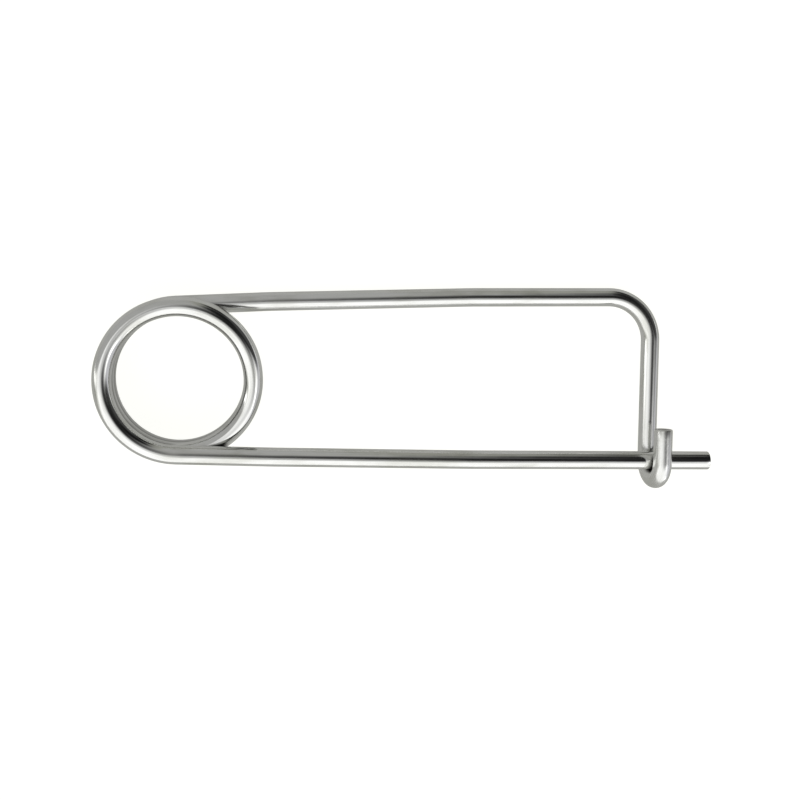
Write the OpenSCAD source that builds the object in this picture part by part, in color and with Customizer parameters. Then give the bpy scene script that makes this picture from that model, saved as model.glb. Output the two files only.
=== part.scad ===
// Coil tension safety pin, closed: one length of round spring wire, bent to shape.
//
// The pin lies flat on the plane z = 0, as it would on a bench. The origin is the point of that plane on
// the coil's axis. +X runs from the coil to the tip, +Y from the shank to the keeper arm, +Z is up.
//
// Along the wire: tip, shank, coil, keeper arm, corner, leg, hook and stub. The leg passes under the
// shank, the hook goes round it and the stub lies over it, so that the hook holds the sprung shank in.

/* [Wire] */
// Diameter of the round spring wire
wire_d = 3.175; // [2.5:0.005:3.5]
// Chamfer round each cut end of the wire
end_chamfer = 0.15; // [0.05:0.05:0.4]

/* [Coil] */
// Diameter of the coil at the centre of the wire
coil_d = 24.3; // [20:0.1:32]
// Whole turns of the coil, before the half turn that ends at the keeper arm
whole_turns = 2; // [1:1:4]
// Air between one turn and the next
turn_gap = 0.08; // [0.05:0.01:0.3]

/* [Shank] */
// Distance from the coil's axis to the middle of the hook, along the way the shank leaves the coil
hook_reach = 82.3; // [60:0.1:120]
// Length of the tip past the middle of the hook
tip_past_hook = 9.8; // [6:0.1:20]
// Angle by which the shank leaves the coil outward
shank_root_angle = 2.3; // [2.2:0.1:4]
// Angle by which the sprung shank still points outward at the hook
shank_tip_angle = 1.2; // [-1:0.1:1.8]
// Radius of the bend that lets the shank down from the top turn to the hook
drop_bend_r = 25; // [10:1:60]

/* [Keeper] */
// Angle by which the keeper arm leaves the coil outward
keeper_root_angle = 2.5; // [2.2:0.1:4]
// Angle by which the sprung keeper arm still points outward at its corner
keeper_tip_angle = 0.3; // [-1:0.1:1.8]
// Radius of the corner between the keeper arm and the leg, at the centre of the wire
corner_r = 7.6; // [5:0.1:12]

/* [Hook] */
// Air between the shank and the inside of the hook
hook_clearance = 0.1; // [0.05:0.01:0.3]
// Angle by which the hook leans toward the tip
hook_lean = 6; // [0:0.5:10]
// Length of the straight stub past the hook's bend
stub_length = 6; // [3:0.1:12]

/* [Hidden] */
$fn = 96;

wire_r = wire_d / 2;
coil_r = coil_d / 2;
pitch = wire_d + turn_gap;

// A right half turn of the coil climbs by one pitch, so it is a little wider than the level left ones
climb_angle = fine_angle(atan2(pitch, coil_d));
climb_r = coil_r / cos(climb_angle);

// The spring load bows each arm outward, most near the coil: the arm is three straight stretches, with
// an equal slight bend after the first and the second
bow_bend_r = 100;
first_stretch = 0.175 * hook_reach;
second_stretch = 0.4 * hook_reach;
shank_root = fine_angle(shank_root_angle);
shank_bow = fine_angle((shank_root_angle - shank_tip_angle) / 2);
keeper_root = fine_angle(keeper_root_angle);
keeper_bow = fine_angle((keeper_root_angle - keeper_tip_angle) / 2);

// The hook's bend leans from the upright, and the shank passes through its middle
hook_r = wire_d + hook_clearance;
hook_rise = hook_r * cos(hook_lean);
hook_shift = hook_r * sin(hook_lean);

// The shank falls from the top turn to the middle of the hook, on a tangent from the drop bend's circle
shank_fall = whole_turns * pitch - hook_rise;
hook_to_drop_centre = norm([hook_reach, drop_bend_r - shank_fall]);
drop_angle = fine_angle(asin(drop_bend_r / hook_to_drop_centre)
    - atan2(drop_bend_r - shank_fall, hook_reach));
shank_run = sqrt(pow(hook_to_drop_centre, 2) - pow(drop_bend_r, 2));
shank_last = last_stretch(0, shank_bow, shank_run);
shank_side = -arm_y(0, shank_bow, shank_last);

// The middle of the hook, and the leg beside it
hook_x = (hook_reach * cos(shank_root) + (shank_side - coil_r) * sin(shank_root));
hook_y = (shank_side - coil_r) * cos(shank_root) - hook_reach * sin(shank_root);
leg_x = hook_x - hook_shift;

// The keeper arm runs from the coil to the corner, and the leg from there to the hook
keeper_tip = fine_angle(keeper_root - 2 * keeper_bow);
keeper_end_x = leg_x - corner_r * (1 + sin(keeper_tip));
keeper_last = last_stretch(keeper_root, keeper_bow, keeper_end_x + coil_r * sin(keeper_root));
keeper_end_y = coil_r * cos(keeper_root) + arm_y(keeper_root, keeper_bow, keeper_last);
leg_length = keeper_end_y - corner_r * cos(keeper_tip) - hook_y;

// An angle, changed a little to have a cosine of six decimals: a turn by it is then exact when its
// numbers are written with six digits, so that one stretch of wire meets the next without a step
function fine_angle(angle) = sign(angle) * acos(round(1e6 * cos(angle)) / 1e6);

// How far an arm goes along X and Y when it sets out at the angle root, bends toward X by bow twice and
// ends with a stretch of the length last
function arm_x(root, bow, last) = first_stretch * cos(root) + second_stretch * cos(root - bow)
    + last * cos(root - 2 * bow) + bow_bend_r * (sin(root) - sin(root - 2 * bow));
function arm_y(root, bow, last) = first_stretch * sin(root) + second_stretch * sin(root - bow)
    + last * sin(root - 2 * bow) + bow_bend_r * (cos(root - 2 * bow) - cos(root));

// The last stretch that takes that arm as far as x
function last_stretch(root, bow, x) = (x - arm_x(root, bow, 0)) / cos(root - 2 * bow);

// The wire is drawn along +Z, each stretch from the end of the one before. Where the wire lies level, a
// bend with a roll of 0 goes to the right as seen from above, 90 is down, 180 to the left and -90 up.

// A straight stretch of wire, with the rest of the wire at its end
module straight(length) {
    cylinder(h = length, d = wire_d);
    translate([0, 0, length]) children();
}

// A bend in the wire, with the rest of the wire at its end
module bend(radius, angle, roll) {
    rotate([0, 0, roll]) {
        arc(radius, angle);
        at_bend_end(radius, angle) rotate([0, 0, -roll]) children();
    }
}

// A half turn to the left that climbs by one pitch, with the rest of the wire level at its end
module climbing_half_turn() {
    rotate([0, 0, 180 + climb_angle]) {
        arc(climb_r, 180);
        at_bend_end(climb_r, 180) rotate([0, 0, 180 + climb_angle]) children();
    }
}

// An arc of wire toward +X, drawn a little too long and cut off square where the rest begins
module arc(radius, angle) {
    excess = wire_r / radius * 180 / PI;
    difference() {
        translate([radius, 0, 0]) rotate([90, 0, 180])
            rotate_extrude(angle = angle + excess) translate([radius, 0]) circle(d = wire_d);
        at_bend_end(radius, angle) translate([-wire_d, -wire_d, 0]) cube(2 * wire_d);
    }
}

// Moves its children to the end of such an arc
module at_bend_end(radius, angle) {
    translate([radius, 0, 0]) rotate([0, angle, 0]) translate([-radius, 0, 0]) children();
}

// An arm with its two slight bends, and the rest of the wire at its end
module arm(bow, roll, last) {
    straight(first_stretch) bend(bow_bend_r, bow, roll)
        straight(second_stretch) bend(bow_bend_r, bow, roll)
        straight(last) children();
}

// The coil's whole turns, each half climbing and half level, and the shank at the end of the last one
module whole_turns(count) {
    climbing_half_turn()
        bend(coil_r, count > 1 ? 180 : 180 - shank_root, 180)
        if (count > 1) whole_turns(count - 1);
        else shank();
}

// The shank, from the coil's top turn to the tip
module shank() {
    bend(drop_bend_r, drop_angle, 90)
        arm(shank_bow, 180, shank_last)
        straight(tip_past_hook - end_chamfer)
        cut_end();
}

// The coil and the shank, from the keeper arm's root to the tip
module coil_and_shank() {
    bend(coil_r, 180 - keeper_root, 180) whole_turns(whole_turns);
}

// The keeper arm, leg, hook and stub, from the arm's root to the stub's end
module keeper() {
    arm(keeper_bow, 0, keeper_last)
        bend(corner_r, 90 + keeper_tip, 0)
        straight(leg_length)
        bend(hook_r, 180, -90 - hook_lean)
        straight(stub_length - end_chamfer)
        cut_end();
}

// The cut end of the wire
module cut_end() {
    cylinder(h = end_chamfer, d1 = wire_d, d2 = wire_d - 2 * end_chamfer);
}

module pin_wire() {
    color([0.78, 0.79, 0.79])
        rotate([0, 0, keeper_root]) translate([0, coil_r, wire_r]) rotate([-90, 0, -90]) {
            keeper();
            rotate([0, 180, 0]) coil_and_shank();
        }
}

pin_wire();
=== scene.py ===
"""A coil tension safety pin of bright spring wire, closed, lying on a pale studio floor.

Lengths are in metres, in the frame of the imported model: the pin lies flat on z = 0, the origin is on the
coil's axis, +X runs from the coil to the tip and +Y from the shank to the keeper arm.
"""

import logging
import math
from dataclasses import dataclass
from enum import Enum

import bpy
import numpy as np
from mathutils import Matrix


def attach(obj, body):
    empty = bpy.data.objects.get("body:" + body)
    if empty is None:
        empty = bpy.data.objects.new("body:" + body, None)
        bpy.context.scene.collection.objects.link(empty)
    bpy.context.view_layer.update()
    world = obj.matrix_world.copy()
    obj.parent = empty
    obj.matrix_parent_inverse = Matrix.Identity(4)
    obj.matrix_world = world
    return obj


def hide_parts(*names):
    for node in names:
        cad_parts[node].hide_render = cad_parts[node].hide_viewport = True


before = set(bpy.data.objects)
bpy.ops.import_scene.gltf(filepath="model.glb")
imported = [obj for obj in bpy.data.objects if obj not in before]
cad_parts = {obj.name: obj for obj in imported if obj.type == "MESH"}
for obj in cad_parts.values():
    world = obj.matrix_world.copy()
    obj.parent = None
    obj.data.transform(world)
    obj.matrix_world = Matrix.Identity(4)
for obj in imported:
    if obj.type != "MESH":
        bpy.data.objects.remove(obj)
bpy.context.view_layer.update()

LOG = logging.getLogger("safety_pin")
NODE = "pin_wire"
SLOT = "spring_wire"
MM = 0.001
HALF_TURN = math.pi
RUN_ATTRIBUTE = "straight_wire"
# Mesh attribute with the depth of the painted shade between the coil's turns
CREVICE_SHADE_ATTRIBUTE = "shade_between_turns"

Colour = tuple[float, float, float]
Vector3 = tuple[float, float, float]
Span = tuple[float, float]


class Turn(Enum):
    """Which way the wire bends, as its roll seen along the wire where it lies level."""

    RIGHT = 0.0
    DOWN = math.pi / 2
    LEFT = math.pi
    UP = -math.pi / 2


@dataclass(frozen=True)
class Stretch:
    """One stretch of the wire, straight or bent at a constant radius.

    Attributes:
        length: length along the middle of the wire.
        angle: how far the wire turns over that length, 0 where it is straight.
        roll: the side that it turns to, as an angle round the wire.
        tilted: how far the marks along the wire have turned from level at the stretch's end.
    """

    length: float
    angle: float = 0.0
    roll: float = 0.0
    tilted: float = 0.0

    @classmethod
    def bend(cls, radius: float, angle: float, turn: Turn, lean: float = 0.0) -> "Stretch":
        """A bend at a radius through an angle, to one side, with its plane leant by some angle.

        Args:
            radius: radius at the middle of the wire.
            angle: how far the wire turns.
            turn: the side that it turns to.
            lean: angle added to that side's roll.

        Returns:
            The stretch.
        """
        return cls(radius * angle, angle, turn.value + lean)


@dataclass
class WirePath:
    """The middle of the wire and the two directions across it, sampled from end to end.

    Attributes:
        centre: points on the middle of the wire, one row each.
        side: unit vectors across the wire, carried along it without twist.
        rise: unit vectors across the wire, square to side and to the wire.
        run: length along the wire from its first point.
    """

    centre: np.ndarray
    side: np.ndarray
    rise: np.ndarray
    run: np.ndarray

    @classmethod
    def along(cls, start: "WirePath", heading: np.ndarray, stretches: list[Stretch],
              step: float, angle_step: float) -> "WirePath":
        """Carries a point and its two cross directions along a chain of stretches.

        On a bend of radius R towards the unit vector e, the point after the angle a is
        p + R (1 - cos a) e + R sin a t, and the directions t and e have turned by a in their own plane,
        while the one square to both stays.

        Args:
            start: a path of one sample, the chain's first point.
            heading: unit vector along the wire there.
            stretches: the chain.
            step: longest distance between two samples.
            angle_step: largest turn between two samples.

        Returns:
            The sampled path, its run counted from the start.
        """
        point, side, rise = start.centre[0], start.side[0], start.rise[0]
        rows, done, tilted = [start], 0.0, 0.0
        for stretch in stretches:
            count = math.ceil(max(stretch.length / step, stretch.angle / angle_step, 1.0))
            part = np.linspace(0.0, 1.0, count + 1)[1:, None]
            if stretch.angle:
                radius, turned = stretch.length / stretch.angle, part * stretch.angle
                roll = stretch.roll + tilted
                inward = math.cos(roll) * side + math.sin(roll) * rise
                axis = math.cos(roll) * rise - math.sin(roll) * side
                points = point + radius * ((1 - np.cos(turned)) * inward + np.sin(turned) * heading)
                inwards = np.cos(turned) * inward - np.sin(turned) * heading
                heading = (np.cos(turned) * heading + np.sin(turned) * inward)[-1]
                sides = math.cos(roll) * inwards - math.sin(roll) * axis
                rises = math.sin(roll) * inwards + math.cos(roll) * axis
                tilted += stretch.tilted
            else:
                points = point + part * stretch.length * heading
                sides, rises = np.broadcast_to(side, points.shape), np.broadcast_to(rise, points.shape)
            rows.append(cls(points, sides, rises, done + part[:, 0] * stretch.length))
            done += stretch.length
            point, side, rise = points[-1], sides[-1], rises[-1]
        return cls(*(np.concatenate([getattr(row, name) for row in rows])
                     for name in ("centre", "side", "rise", "run")))

    def reversed(self) -> "WirePath":
        """The same path from its other end, with side turned round so that it stays right-handed."""
        return WirePath(self.centre[::-1], -self.side[::-1], self.rise[::-1],
                        self.run[-1] - self.run[::-1])

    def then(self, other: "WirePath") -> "WirePath":
        """This path with another one that starts at its last point joined on."""
        return WirePath(np.concatenate([self.centre, other.centre[1:]]),
                        np.concatenate([self.side, other.side[1:]]),
                        np.concatenate([self.rise, other.rise[1:]]),
                        np.concatenate([self.run, self.run[-1] + other.run[1:]]))


@dataclass(frozen=True)
class CutEnd:
    """A cropped end of the wire: a face with a rolled edge, a slight dome and a burr on one side.

    Attributes:
        edge: radius of the rolled edge.
        dome: how far the face's rim lies back from its middle.
        slant: how far the face leans back on the side away from the burr.
        burr: height of the burr that the cutter left on the rim.
        burr_at: angle round the wire of the burr.
        burr_width: how far the burr spreads, as 1 - the cosine of an angle round the wire.
        rings: rings of mesh on the edge and again on the face.
    """

    edge: float
    dome: float
    slant: float
    burr: float
    burr_at: float
    burr_width: float = 0.12
    rings: int = 10

    @property
    def depth(self) -> float:
        """How far the end's lowest place lies below its outermost plane."""
        return self.edge + self.dome + self.slant

    def surface(self, radius: float, around: np.ndarray) -> tuple[np.ndarray, np.ndarray]:
        """The end as distances from the wire's middle and depths below its outermost plane.

        The edge is a quarter circle. Across the face the depth is the dome's share, growing with the
        square of the distance from the middle, and the slant's, growing along the burr's direction. The
        burr is a narrow bump of the rim, a bell curve round the wire.

        Args:
            radius: the wire's radius.
            around: angles round the wire, one for each column.

        Returns:
            Distances and depths, one row per ring from the wire to the middle and one column per angle.
        """
        quarter = np.linspace(0.0, HALF_TURN / 2, self.rings + 1)[1:, None]
        flat = radius - self.edge
        inner = flat * np.linspace(1.0, 0.0, self.rings + 1)[1:-1, None]
        reach = np.concatenate([radius - self.edge * (1 - np.cos(quarter)), inner])
        drop = np.concatenate([self.edge * (1 - np.sin(quarter)), np.zeros_like(inner)])
        share = reach / radius
        toward = np.cos(around - self.burr_at)
        depth = drop + self.dome * share**2 + self.slant * (1 - share * toward) / 2
        bump = np.exp(-((1 - toward) / self.burr_width)) * np.exp(-(((reach - flat) / self.edge) ** 2))
        return np.broadcast_to(reach, depth.shape), depth - self.burr * bump


@dataclass(frozen=True)
class Grain:
    """Soft noise that follows the straightened wire.

    Attributes:
        scale: features in a metre along the wire and in the two directions across it.
        detail: octaves of finer noise on top.
    """

    scale: Vector3
    detail: float


@dataclass(frozen=True)
class WireFinish:
    """Bright drawn spring wire: a smooth, slightly soft mirror with faint lines along it, and painted
    shade where it lies close to itself.

    Attributes:
        name: the material's name.
        light: the cleaner metal's colour.
        dull: the colour where the surface is a little stained.
        smooth: roughness of the brightest patches.
        rough: roughness of the dullest patches.
        stains: noise of the stained patches.
        stained: the noise's values where a stain starts and is full.
        lines: noise of the drawing lines.
        line_share: share of the lines in the roughness, the rest being the stains'.
        roughened: values of that mix where the wire is smooth and rough.
        scratch: depth of the drawing lines.
        hairs: noise of the finest lines.
        hair: depth of the finest lines.
        waves: noise of the long, low waves that forming leaves in the surface.
        wave: depth of the waves.
        painted_shade_colour: colour of the painted shade where the wire meets itself.
        painted_shade_reach: how near the other wire is where the painted shade can start at the hook.
        painted_shade_span: open share of the surroundings where the painted shade is full and ends.
        worked_rough: roughness added where the bending tool has worked the hook and the stub.
        worked_ease: length of wire over which the worked stretch starts.
        dents: noise of the tool's shallow dents there.
        dent: depth of the dents.
    """

    name: str = "bright_spring_wire"
    light: Colour = (0.84, 0.843, 0.825)
    dull: Colour = (0.70, 0.703, 0.662)
    smooth: float = 0.07
    rough: float = 0.18
    stains: Grain = Grain((120.0, 500.0, 500.0), 4.0)
    stained: Span = (0.42, 0.72)
    lines: Grain = Grain((60.0, 4200.0, 4200.0), 3.0)
    line_share: float = 0.4
    roughened: Span = (0.35, 0.65)
    scratch: float = 0.0012 * MM
    hairs: Grain = Grain((90.0, 16000.0, 16000.0), 2.0)
    hair: float = 0.0003 * MM
    waves: Grain = Grain((260.0, 420.0, 420.0), 1.0)
    wave: float = 0.012 * MM
    painted_shade_colour: Colour = (0.05, 0.048, 0.042)
    painted_shade_reach: float = 1.2 * MM
    painted_shade_span: Span = (0.25, 0.75)
    worked_rough: float = 0.13
    worked_ease: float = 8.0 * MM
    dents: Grain = Grain((700.0, 900.0, 900.0), 3.0)
    dent: float = 0.02 * MM

    def make(self, worked_from: float) -> bpy.types.Material:
        """Builds the material, which reads the straightened wire's own coordinates.

        Args:
            worked_from: how far along the wire the tight bend starts that the tool has dented.

        Returns:
            The material.
        """
        graph = Graph.for_material(self.name)
        run = graph.node("ShaderNodeAttribute", attribute_name=RUN_ATTRIBUTE).outputs["Vector"]
        stains = graph.noise(run, self.stains)
        lines = graph.noise(run, self.lines)

        colour = graph.blend(graph.stretch(stains, *self.stained), self.light, self.dull)
        # Painted shade: the colour darkens towards near black where the wire's own surfaces lie close
        # round it
        colour = graph.blend(graph.shelter(self.painted_shade_reach, *self.painted_shade_span), self.painted_shade_colour, colour)
        # Painted shade between the coil's turns, by the crevice depth stored on the mesh
        crevice = graph.node("ShaderNodeAttribute", attribute_name=CREVICE_SHADE_ATTRIBUTE).outputs["Fac"]
        colour = graph.blend(crevice, colour, self.painted_shade_colour)

        split = graph.node("ShaderNodeSeparateXYZ")
        graph.link(run, split.inputs[0])
        worked = graph.stretch(split.outputs["X"], worked_from - self.worked_ease, worked_from)
        mixed = graph.math("ADD", graph.math("MULTIPLY", stains, 1 - self.line_share),
                           graph.math("MULTIPLY", lines, self.line_share))
        roughness = graph.math("ADD", graph.stretch(mixed, *self.roughened, self.smooth, self.rough),
                               graph.math("MULTIPLY", worked, self.worked_rough))

        bump = graph.bump(graph.noise(run, self.waves), self.wave, None)
        bump = graph.bump(graph.math("MULTIPLY", graph.noise(run, self.dents), worked), self.dent, bump)
        bump = graph.bump(lines, self.scratch, bump)
        bump = graph.bump(graph.noise(run, self.hairs), self.hair, bump)

        shader = graph.node("ShaderNodeBsdfPrincipled")
        shader.inputs["Metallic"].default_value = 1.0
        graph.link(colour, shader.inputs["Base Color"])
        graph.link(roughness, shader.inputs["Roughness"])
        graph.link(bump, shader.inputs["Normal"])
        graph.link(shader.outputs["BSDF"], graph.output.inputs["Surface"])
        return graph.material


@dataclass(frozen=True)
class CutFinish:
    """The bare, torn steel of a cropped end, with the cutter's marks across it.

    Attributes:
        name: the material's name.
        bright: colour of the burnished streaks.
        dark: colour of the torn steel between them.
        roughness: roughness of the face.
        streaks: noise of the cutter's marks.
        streaked: the noise's values where a streak starts and is full.
        tear: depth of the marks.
        grains: noise of the torn steel's grain.
        grain: depth of the grain.
    """

    name: str = "cropped_wire_end"
    bright: Colour = (0.62, 0.61, 0.59)
    dark: Colour = (0.26, 0.25, 0.24)
    roughness: float = 0.38
    streaks: Grain = Grain((400.0, 700.0, 5200.0), 4.0)
    streaked: Span = (0.35, 0.65)
    tear: float = 0.02 * MM
    grains: Grain = Grain((9000.0, 9000.0, 9000.0), 2.0)
    grain: float = 0.004 * MM

    def make(self) -> bpy.types.Material:
        """Builds the material, whose marks run straight across the end.

        Returns:
            The material.
        """
        graph = Graph.for_material(self.name)
        run = graph.node("ShaderNodeAttribute", attribute_name=RUN_ATTRIBUTE).outputs["Vector"]
        streaks = graph.noise(run, self.streaks)
        colour = graph.blend(graph.stretch(streaks, *self.streaked), self.dark, self.bright)
        bump = graph.bump(streaks, self.tear, None)
        bump = graph.bump(graph.noise(run, self.grains), self.grain, bump)
        shader = graph.node("ShaderNodeBsdfPrincipled")
        shader.inputs["Metallic"].default_value = 1.0
        shader.inputs["Roughness"].default_value = self.roughness
        graph.link(colour, shader.inputs["Base Color"])
        graph.link(bump, shader.inputs["Normal"])
        graph.link(shader.outputs["BSDF"], graph.output.inputs["Surface"])
        return graph.material


class Graph:
    """A node tree with short ways to add the nodes that the finishes and the sky share."""

    def __init__(self, tree: bpy.types.NodeTree, output: bpy.types.Node) -> None:
        """Takes an empty tree and its output node."""
        self.tree = tree
        self.output = output
        self.material: bpy.types.Material | None = None

    @classmethod
    def for_material(cls, name: str) -> "Graph":
        """Makes a material with an empty tree.

        Args:
            name: the material's name.

        Returns:
            The graph, with the material in it.
        """
        material = bpy.data.materials.new(name)
        material.use_nodes = True
        material.node_tree.nodes.clear()
        graph = cls(material.node_tree, material.node_tree.nodes.new("ShaderNodeOutputMaterial"))
        graph.material = material
        return graph

    def node(self, kind: str, **settings: object) -> bpy.types.Node:
        """Adds a node.

        Args:
            kind: the node's type.
            **settings: the node's own properties.

        Returns:
            The node.
        """
        made = self.tree.nodes.new(kind)
        for key, value in settings.items():
            setattr(made, key, value)
        return made

    def link(self, source: bpy.types.NodeSocket, target: bpy.types.NodeSocket) -> None:
        """Joins an output to an input."""
        self.tree.links.new(source, target)

    def fill(self, socket: bpy.types.NodeSocket, value: object) -> None:
        """Links a socket to another, or sets it to a plain value."""
        if isinstance(value, bpy.types.NodeSocket):
            self.link(value, socket)
        else:
            socket.default_value = value

    def math(self, operation: str, *values: object) -> bpy.types.NodeSocket:
        """The result of one sum on one or two values, as the operation says."""
        made = self.node("ShaderNodeMath", operation=operation)
        for socket, value in zip(made.inputs, values):
            self.fill(socket, value)
        return made.outputs[0]

    def noise(self, vector: bpy.types.NodeSocket, grain: Grain) -> bpy.types.NodeSocket:
        """Soft noise along given coordinates.

        Args:
            vector: the coordinates that it follows.
            grain: its scale and detail.

        Returns:
            The noise, from 0 to 1.
        """
        mapping = self.node("ShaderNodeMapping")
        self.link(vector, mapping.inputs["Vector"])
        mapping.inputs["Scale"].default_value = grain.scale
        made = self.node("ShaderNodeTexNoise")
        made.inputs["Scale"].default_value = 1.0
        made.inputs["Detail"].default_value = grain.detail
        self.link(mapping.outputs["Vector"], made.inputs["Vector"])
        return made.outputs["Fac"]

    def stretch(self, value: bpy.types.NodeSocket, low: float, high: float,
                to_low: float = 0.0, to_high: float = 1.0) -> bpy.types.NodeSocket:
        """Takes the values between two limits smoothly to two others.

        Args:
            value: the value to take.
            low: the limit that becomes to_low.
            high: the limit that becomes to_high.
            to_low: the result at and below low.
            to_high: the result at and above high.

        Returns:
            The result.
        """
        made = self.node("ShaderNodeMapRange", interpolation_type="SMOOTHSTEP")
        for socket, number in zip(made.inputs[:5], (value, low, high, to_low, to_high)):
            self.fill(socket, number)
        return made.outputs[0]

    def blend(self, share: bpy.types.NodeSocket, first: object,
              second: object) -> bpy.types.NodeSocket:
        """A colour between two others.

        Args:
            share: 0 for the first colour and 1 for the second.
            first: a colour or a socket.
            second: a colour or a socket.

        Returns:
            The colour.
        """
        made = self.node("ShaderNodeMix", data_type="RGBA")
        self.link(share, made.inputs["Factor"])
        for socket, colour in zip((s for s in made.inputs if s.type == "RGBA"), (first, second)):
            self.fill(socket, (*colour, 1.0) if isinstance(colour, tuple) else colour)
        return next(s for s in made.outputs if s.type == "RGBA")

    def shelter(self, reach: float, deep: float, free: float,
                samples: int = 16) -> bpy.types.NodeSocket:
        """How freely the surface lies, from 0 in a crevice of the piece itself to 1 in the open.

        Args:
            reach: how far off another surface counts.
            deep: the open share of its surroundings at which a place counts as deep in a crevice.
            free: the open share from which a place counts as free.
            samples: rays that look for other surfaces.

        Returns:
            The value.
        """
        made = self.node("ShaderNodeAmbientOcclusion", samples=samples, only_local=True)
        made.inputs["Distance"].default_value = reach
        return self.stretch(made.outputs["AO"], deep, free)

    def bump(self, height: bpy.types.NodeSocket, depth: float, under: object) -> bpy.types.NodeSocket:
        """A normal bumped by a height from 0 to 1 that stands for a depth in metres.

        Args:
            height: the height.
            depth: what a height of 1 measures.
            under: the normal to start from, or None.

        Returns:
            The normal.
        """
        made = self.node("ShaderNodeBump")
        made.inputs["Distance"].default_value = depth
        self.link(height, made.inputs["Height"])
        if under is not None:
            self.link(under, made.inputs["Normal"])
        return made.outputs["Normal"]


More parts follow.
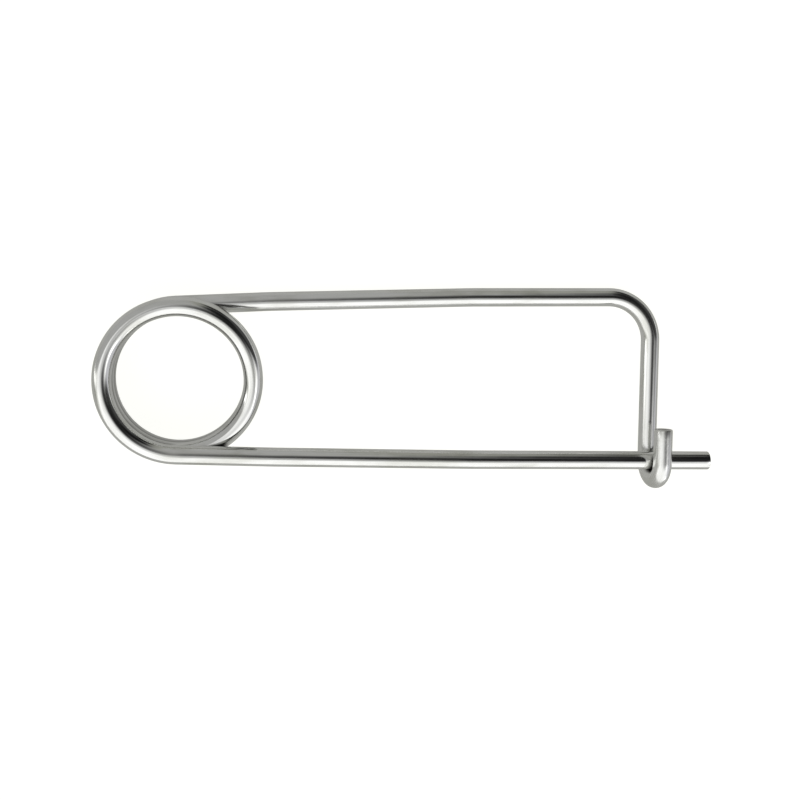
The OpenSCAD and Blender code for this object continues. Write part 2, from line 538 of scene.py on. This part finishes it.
@dataclass
class SafetyPin:
    """The whole pin: one wire that runs tip, shank, coil, keeper arm, corner, leg, hook and stub.

    Radii of bends are those of the middle of the wire.

    Attributes:
        wire_r: the wire's radius.
        coil_r: radius of the coil.
        whole_turns: whole turns of the coil, which has half a turn more.
        turn_gap: gap between two turns.
        hook_reach: distance from the coil's axis to the middle of the hook.
        tip_past_hook: length of the shank past the hook.
        shank_root_angle: angle between the shank and X where it leaves the coil.
        shank_tip_angle: angle between the shank and X at the tip.
        drop_bend_r: radius of the bend by which the shank starts to fall to the hook.
        keeper_root_angle: angle between the keeper arm and X where it leaves the coil.
        keeper_tip_angle: angle between the keeper arm and X at the corner.
        corner_r: radius of the corner.
        hook_clearance: gap between the hook and the shank in it.
        hook_lean: how far the hook's plane leans from upright.
        stub_length: length of the straight wire after the hook.
        bow_bend_r: radius of the two slight bends in each arm.
        first_share: share of hook_reach before an arm's first slight bend.
        second_share: share of hook_reach between its two slight bends.
        tip_end: the cropped end at the tip.
        stub_end: the cropped end at the stub.
        finish: the wire's finish.
        cut: finish of the cropped ends.
        crevice_shade_width: height of skin and gap, on both turns together, over which painted shade
            fades.
        end_clearance: depths of an end that stay free of the wire's own rows of mesh.
        step: longest distance between two rows of mesh.
        angle_step: largest turn between two rows of mesh.
        columns: columns of mesh round the wire.
    """

    wire_r: float = 3.175 / 2 * MM
    coil_r: float = 24.3 / 2 * MM
    whole_turns: int = 2
    turn_gap: float = 0.08 * MM
    hook_reach: float = 82.3 * MM
    tip_past_hook: float = 9.8 * MM
    shank_root_angle: float = math.radians(2.3)
    shank_tip_angle: float = math.radians(1.2)
    drop_bend_r: float = 25.0 * MM
    keeper_root_angle: float = math.radians(2.5)
    keeper_tip_angle: float = math.radians(0.3)
    corner_r: float = 7.6 * MM
    hook_clearance: float = 0.1 * MM
    hook_lean: float = math.radians(6.0)
    stub_length: float = 6.0 * MM
    bow_bend_r: float = 100.0 * MM
    first_share: float = 0.175
    second_share: float = 0.4
    tip_end: CutEnd = CutEnd(0.06 * MM, 0.03 * MM, 0.05 * MM, 0.03 * MM, math.radians(200.0))
    stub_end: CutEnd = CutEnd(0.22 * MM, 0.12 * MM, 0.06 * MM, 0.06 * MM, math.radians(20.0))
    finish: WireFinish = WireFinish()
    cut: CutFinish = CutFinish()
    crevice_shade_width: float = 2.9 * MM
    end_clearance: float = 2.0
    step: float = 0.8 * MM
    angle_step: float = math.radians(2.5)
    columns: int = 96

    @property
    def pitch(self) -> float:
        """Rise of the coil in one turn."""
        return 2 * self.wire_r + self.turn_gap

    @property
    def hook_r(self) -> float:
        """Radius of the hook at the middle of the wire."""
        return 2 * self.wire_r + self.hook_clearance

    def arm(self, bow: float, turn: Turn, last: float) -> list[Stretch]:
        """An arm: three straight stretches with two equal slight bends between them."""
        bend = Stretch.bend(self.bow_bend_r, bow, turn)
        first, second = self.first_share * self.hook_reach, self.second_share * self.hook_reach
        return [Stretch(first), bend, Stretch(second), bend, Stretch(last)]

    def arm_end(self, root: float, bow: float, last: float) -> tuple[float, float]:
        """How far along X and Y an arm goes.

        It sets out at the angle root, turns towards X by bow twice and ends with the stretch last: each
        straight stretch gives its length times the cosine and sine of its angle, and each bend gives its
        radius times the change of the sine and of the cosine.
        """
        first, second = self.first_share * self.hook_reach, self.second_share * self.hook_reach
        tip = root - 2 * bow
        along = first * math.cos(root) + second * math.cos(root - bow) + last * math.cos(tip)
        across = first * math.sin(root) + second * math.sin(root - bow) + last * math.sin(tip)
        return (along + self.bow_bend_r * (math.sin(root) - math.sin(tip)),
                across + self.bow_bend_r * (math.cos(tip) - math.cos(root)))

    def last_stretch(self, root: float, bow: float, reach: float) -> float:
        """Length of the last stretch that takes that arm a given way along X."""
        return (reach - self.arm_end(root, bow, 0.0)[0]) / math.cos(root - 2 * bow)

    def stretches(self) -> tuple[list[Stretch], list[Stretch]]:
        """The wire as two chains that both start where the keeper arm leaves the coil.

        The shank falls on a tangent from the drop bend's circle to the middle of the hook, and the leg
        ends beside the point that the shank has there.

        Returns:
            The chain through the coil to the tip, and the chain through the keeper arm to the stub.
        """
        climb = math.atan2(self.pitch, 2 * self.coil_r)
        climb_r = self.coil_r / math.cos(climb)
        fall = self.whole_turns * self.pitch - self.hook_r * math.cos(self.hook_lean)
        drop = (math.asin(self.drop_bend_r / math.hypot(self.hook_reach, self.drop_bend_r - fall))
                - math.atan2(self.drop_bend_r - fall, self.hook_reach))
        slope_run = math.sqrt(self.hook_reach**2 + (self.drop_bend_r - fall) ** 2 - self.drop_bend_r**2)
        shank_bow = (self.shank_root_angle - self.shank_tip_angle) / 2
        shank_last = self.last_stretch(0.0, shank_bow, slope_run)
        aside = -self.arm_end(0.0, shank_bow, shank_last)[1] - self.coil_r
        cosine, sine = math.cos(self.shank_root_angle), math.sin(self.shank_root_angle)
        leg_x = self.hook_reach * cosine + aside * sine - self.hook_r * math.sin(self.hook_lean)
        hook_y = aside * cosine - self.hook_reach * sine

        root, bow = self.keeper_root_angle, (self.keeper_root_angle - self.keeper_tip_angle) / 2
        corner_x = leg_x - self.corner_r * (1 + math.sin(self.keeper_tip_angle))
        keeper_last = self.last_stretch(root, bow, corner_x + self.coil_r * math.sin(root))
        corner_y = self.coil_r * math.cos(root) + self.arm_end(root, bow, keeper_last)[1]
        leg = corner_y - self.corner_r * math.cos(self.keeper_tip_angle) - hook_y

        coil = [Stretch.bend(self.coil_r, HALF_TURN - root, Turn.LEFT)]
        for turn in range(self.whole_turns):
            over = self.shank_root_angle if turn == self.whole_turns - 1 else 0.0
            coil.append(Stretch(climb_r * HALF_TURN, HALF_TURN, Turn.LEFT.value + climb, 2 * climb))
            coil.append(Stretch.bend(self.coil_r, HALF_TURN - over, Turn.LEFT))
        shank = [Stretch.bend(self.drop_bend_r, drop, Turn.DOWN),
                 *self.arm(shank_bow, Turn.LEFT, shank_last), Stretch(self.tip_past_hook)]
        keeper = [*self.arm(bow, Turn.RIGHT, keeper_last),
                  Stretch.bend(self.corner_r, HALF_TURN / 2 + self.keeper_tip_angle, Turn.RIGHT),
                  Stretch(leg),
                  Stretch.bend(self.hook_r, HALF_TURN, Turn.UP, -self.hook_lean),
                  Stretch(self.stub_length)]
        return coil + shank, keeper

    def path(self) -> WirePath:
        """The whole wire from the tip to the stub's end.

        Returns:
            The sampled path.
        """
        sine, cosine = math.sin(self.keeper_root_angle), math.cos(self.keeper_root_angle)
        point = np.array([[-self.coil_r * sine, self.coil_r * cosine, self.wire_r]])
        heading, side = np.array([cosine, sine, 0.0]), np.array([[sine, -cosine, 0.0]])
        rise, zero = np.array([[0.0, 0.0, -1.0]]), np.zeros(1)
        to_tip, to_stub = self.stretches()
        steps = self.step, self.angle_step
        back = WirePath.along(WirePath(point, -side, rise, zero), -heading, to_tip, *steps)
        on = WirePath.along(WirePath(point, side, rise, zero), heading, to_stub, *steps)
        return back.reversed().then(on)

    def grid(self) -> tuple[np.ndarray, np.ndarray]:
        """The wire's skin as a grid of points, and the same grid on the straightened wire.

        Every point is the middle of the wire, plus its distance from the middle times (cosine of its
        angle times side, plus sine times rise), plus its depth at an end times the wire's own direction.

        Returns:
            Two arrays of rows along the wire by columns round it by three.
        """
        path = self.path()
        around = np.arange(self.columns) * 2 * HALF_TURN / self.columns
        tip_reach, tip_depth = self.tip_end.surface(self.wire_r, around)
        stub_reach, stub_depth = self.stub_end.surface(self.wire_r, around)
        first, last = len(tip_reach), len(stub_reach)
        # The wire's own rows stay clear of the rolled edges
        start = self.end_clearance * self.tip_end.depth
        end = path.run[-1] - self.end_clearance * self.stub_end.depth
        kept = np.flatnonzero((path.run > start) & (path.run < end))
        body = np.ones((len(kept), self.columns))
        rows = np.concatenate([np.zeros(first, int), kept, np.full(last, len(path.run) - 1)])
        reach = np.concatenate([tip_reach[::-1], self.wire_r * body, stub_reach])
        shift = np.concatenate([tip_depth[::-1], 0 * body, -stub_depth])
        along = np.cross(path.side, path.rise)
        cosine, sine = reach * np.cos(around), reach * np.sin(around)
        skin = (path.centre[rows, None] + cosine[..., None] * path.side[rows, None]
                + sine[..., None] * path.rise[rows, None] + shift[..., None] * along[rows, None])
        straight = np.stack([path.run[rows, None] + shift, cosine, sine], axis=-1)
        return skin, straight

    def shade_between_turns(self, skin: np.ndarray, run: np.ndarray) -> np.ndarray:
        """How deep each point of the skin lies in the crevice between two coil turns, where shade is
        painted.

        A point dz above the wire's middle lies pitch - 2 dz below the next turn's skin, where the wire
        has one more turn to go, and the same holds below, where it has made one. The depth is 1 where
        that distance is nothing and falls to 0 over crevice_shade_width, eased at both ends. Lengths count
        from where the keeper arm leaves the coil, and above and below fade in over one wire_r.

        Args:
            skin: points of the skin, rows along the wire by columns round it.
            run: their places along the straightened wire, from the tip.

        Returns:
            The depths, one for each point.
        """
        to_tip = self.stretches()[0]
        coil = sum(stretch.length for stretch in to_tip[:2 * self.whole_turns + 1])
        wound = sum(stretch.length for stretch in to_tip) - run
        turn = 2 * HALF_TURN * self.coil_r
        above = np.clip(np.minimum(coil - turn - wound, wound) / self.wire_r, 0.0, 1.0)
        below = np.clip(np.minimum(wound - turn, coil - wound) / self.wire_r, 0.0, 1.0)
        rise = skin[..., 2] - skin[..., 2].mean(axis=1, keepdims=True)
        depth = np.clip(1 - (self.pitch - 2 * np.abs(rise)) / self.crevice_shade_width, 0.0, 1.0)
        return depth**2 * (3 - 2 * depth) * np.where(rise > 0, above, below)

    def build(self) -> bpy.types.Object:
        """Makes the wire as one closed mesh with its two cut ends, and dresses it.

        Returns:
            The piece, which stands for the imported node.
        """
        skin, straight = self.grid()
        rows, columns = skin.shape[:2]
        index = np.arange(rows * columns).reshape(rows, columns)
        ahead = np.roll(index, -1, axis=1)
        quads = np.stack([index[:-1], ahead[:-1], ahead[1:], index[1:]], axis=-1).reshape(-1, 4)
        poles, pole_runs = skin[[0, -1]].mean(axis=1), straight[[0, -1]].mean(axis=1)
        first, last = rows * columns, rows * columns + 1
        start_fan = np.stack([np.full(columns, first), ahead[0], index[0]], axis=-1)
        end_fan = np.stack([np.full(columns, last), index[-1], ahead[-1]], axis=-1)
        points = np.concatenate([skin.reshape(-1, 3), poles])
        mesh = bpy.data.meshes.new(SLOT)
        mesh.from_pydata(points.tolist(), [], quads.tolist() + start_fan.tolist() + end_fan.tolist())
        runs = mesh.attributes.new(RUN_ATTRIBUTE, "FLOAT_VECTOR", "POINT")
        runs.data.foreach_set("vector", np.concatenate([straight.reshape(-1, 3), pole_runs]).ravel())
        # Depths of the painted shade between the coil's turns
        crevice_shades = mesh.attributes.new(CREVICE_SHADE_ATTRIBUTE, "FLOAT", "POINT")
        depths = self.shade_between_turns(skin, straight[..., 0])
        crevice_shades.data.foreach_set("value", np.append(depths.ravel(), np.zeros(len(poles))))
        mesh.polygons.foreach_set("use_smooth", np.ones(len(mesh.polygons), bool))
        band = np.repeat(np.arange(rows - 1), columns)
        on_end = (band < self.tip_end.rings) | (band >= rows - 1 - self.stub_end.rings)
        mesh.polygons.foreach_set("material_index",
                                  np.concatenate([on_end, np.ones(2 * columns, bool)]).astype(np.int32))
        wire_length = float(straight[..., 0].max())
        mesh.materials.append(self.finish.make(wire_length - self.stub_length - HALF_TURN * self.hook_r))
        mesh.materials.append(self.cut.make())
        mesh.validate()
        mesh.update()
        piece = bpy.data.objects.new(SLOT, mesh)
        bpy.context.scene.collection.objects.link(piece)
        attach(piece, "root")
        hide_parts(NODE)
        LOG.info("%s: %d faces, %.1f mm of wire", piece.name, len(mesh.polygons), wire_length / MM)
        return piece


@dataclass(frozen=True)
class SkyPatch:
    """A round, soft-edged patch of the surroundings that is brighter or darker than the rest.

    Attributes:
        azimuth: direction of its middle in degrees, from +X towards +Y.
        from_zenith: angle of its middle from straight up, in degrees.
        inner: angle from its middle to where its edge starts, in degrees.
        outer: angle from its middle to where its edge ends, in degrees.
        light: its light.
    """

    azimuth: float
    from_zenith: float
    inner: float
    outer: float
    light: Colour

    def axis(self) -> Vector3:
        """Unit vector towards its middle."""
        azimuth, tilt = math.radians(self.azimuth), math.radians(self.from_zenith)
        return (math.sin(tilt) * math.cos(azimuth), math.sin(tilt) * math.sin(azimuth), math.cos(tilt))


@dataclass
class Studio:
    """The pale floor, the soft light of the surroundings and the camera above the pin.

    Attributes:
        room: light of the surroundings where no patch lies.
        patches: brighter and darker parts of the surroundings, each laid over those before it.
        backdrop: what the camera sees past the floor.
        floor_size: width of the floor.
        floor_colour: the floor's own colour.
        floor_tint: colour of the floor's glow.
        floor_glow: strength of the glow that lights the pin from below.
        floor_lift: strength added to it for the camera alone, so that the floor shows white.
        aim: the point that the camera looks at.
        distance: how far the camera is from that point.
        tilt: the camera's turns about X, Y and Z.
        lens: the camera's focal length in millimetres.
        near_share: share of that distance nearer than which nothing shows.
    """

    room: Colour = (0.322, 0.324, 0.295)
    patches: tuple[SkyPatch, ...] = (
        # A wide window on the shank's side, and the lit wall in front of it
        SkyPatch(305.0, 70.0, 60.0, 110.0, (3.0, 3.0, 3.0)),
        SkyPatch(260.0, 60.0, 45.0, 50.0, (1.2, 1.2, 1.2)),
        # A small soft lamp above the coil, and a pale card beyond the tip
        SkyPatch(175.0, 25.0, 0.0, 30.0, (1.0, 1.0, 1.0)),
        SkyPatch(340.0, 80.0, 20.0, 40.0, (0.6, 0.6, 0.63)),
        # The dark end of the room, the dark camera overhead and its stand beside it
        SkyPatch(30.0, 60.0, 25.0, 40.0, (0.06, 0.06, 0.06)),
        SkyPatch(20.0, 20.0, 0.0, 45.0, (0.01, 0.01, 0.01)),
        SkyPatch(50.0, 50.0, 5.0, 20.0, (0.01, 0.01, 0.01)),
        SkyPatch(60.0, 80.0, 5.0, 15.0, (0.01, 0.01, 0.01)),
        # A second window behind the coil, with a grey wall before it
        SkyPatch(155.0, 70.0, 20.0, 35.0, (2.7, 2.7, 2.7)),
        SkyPatch(130.0, 70.0, 45.0, 50.0, (0.4, 0.4, 0.395)),
    )
    backdrop: Colour = (1.0, 1.0, 1.0)
    floor_size: float = 4.0
    floor_colour: Colour = (0.22, 0.22, 0.215)
    floor_tint: Colour = (1.0, 1.0, 0.96)
    floor_glow: float = 0.30
    floor_lift: float = 0.66
    aim: Vector3 = (37.31 * MM, -4.01 * MM, 1.59 * MM)
    distance: float = 209.67 * MM
    tilt: Vector3 = (math.radians(-6.282), math.radians(-6.794), math.radians(-0.317))
    lens: float = 54.79
    near_share: float = 0.05

    def build(self) -> None:
        """Makes the floor, the surroundings and the camera."""
        self.floor()
        self.sky()
        self.camera()
        bpy.context.scene.view_settings.view_transform = "Standard"

    def floor(self) -> None:
        """A plain pale floor, the plane that the pin lies on, lit from below like a light table."""
        half = self.floor_size / 2
        mesh = bpy.data.meshes.new("studio_floor")
        mesh.from_pydata([(-half, -half, 0), (half, -half, 0), (half, half, 0), (-half, half, 0)], [],
                         [(0, 1, 2, 3)])
        graph = Graph.for_material("pale_paper")
        shade = graph.node("ShaderNodeBsdfDiffuse")
        shade.inputs["Color"].default_value = (*self.floor_colour, 1.0)
        glow = graph.node("ShaderNodeEmission")
        glow.inputs["Color"].default_value = (*self.floor_tint, 1.0)
        seen = graph.node("ShaderNodeLightPath").outputs["Is Camera Ray"]
        lift = graph.math("MULTIPLY", seen, self.floor_lift)
        graph.link(graph.math("ADD", lift, self.floor_glow), glow.inputs["Strength"])
        lit = graph.node("ShaderNodeAddShader")
        graph.link(shade.outputs[0], lit.inputs[0])
        graph.link(glow.outputs[0], lit.inputs[1])
        graph.link(lit.outputs[0], graph.output.inputs["Surface"])
        mesh.materials.append(graph.material)
        floor = bpy.data.objects.new("studio_floor", mesh)
        bpy.context.scene.collection.objects.link(floor)

    def sky(self) -> None:
        """Surroundings of one plain tone with soft patches of light and shade, and a white backdrop.

        A patch takes over between the angles outer and inner from its middle, which a direction's dot
        product with the patch's axis gives as their cosines.
        """
        world = bpy.data.worlds.new("studio")
        world.use_nodes = True
        world.node_tree.nodes.clear()
        graph = Graph(world.node_tree, world.node_tree.nodes.new("ShaderNodeOutputWorld"))
        direction = graph.node("ShaderNodeTexCoord").outputs["Generated"]
        light: object = self.room
        for patch in self.patches:
            facing = graph.node("ShaderNodeVectorMath", operation="DOT_PRODUCT")
            graph.link(direction, facing.inputs[0])
            facing.inputs[1].default_value = patch.axis()
            share = graph.stretch(facing.outputs["Value"], math.cos(math.radians(patch.outer)),
                                  math.cos(math.radians(patch.inner)))
            light = graph.blend(share, light, patch.light)
        rays = graph.node("ShaderNodeLightPath")
        seen = graph.blend(rays.outputs["Is Camera Ray"], light, self.backdrop)
        background = graph.node("ShaderNodeBackground")
        graph.link(seen, background.inputs["Color"])
        graph.link(background.outputs[0], graph.output.inputs["Surface"])
        bpy.context.scene.world = world

    def camera(self) -> None:
        """A camera above the pin that looks down on it, leaning a little to the coil's side."""
        data = bpy.data.cameras.new("camera")
        data.lens = self.lens
        data.clip_start = self.distance * self.near_share
        camera = bpy.data.objects.new("camera", data)
        camera.rotation_mode = "ZYX"
        camera.rotation_euler = self.tilt
        bpy.context.scene.collection.objects.link(camera)
        back = camera.rotation_euler.to_matrix().col[2]
        camera.location = [a + self.distance * b for a, b in zip(self.aim, back)]
        bpy.context.scene.camera = camera


def main() -> None:
    """Builds the pin and its studio."""
    logging.basicConfig(level=logging.INFO, format="%(name)s: %(message)s")
    LOG.info("packed nodes: %s", ", ".join(sorted(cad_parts)))
    SafetyPin().build()
    Studio().build()
    LOG.info("studio: floor, surroundings and camera")


if __name__ == "__main__":
    main()
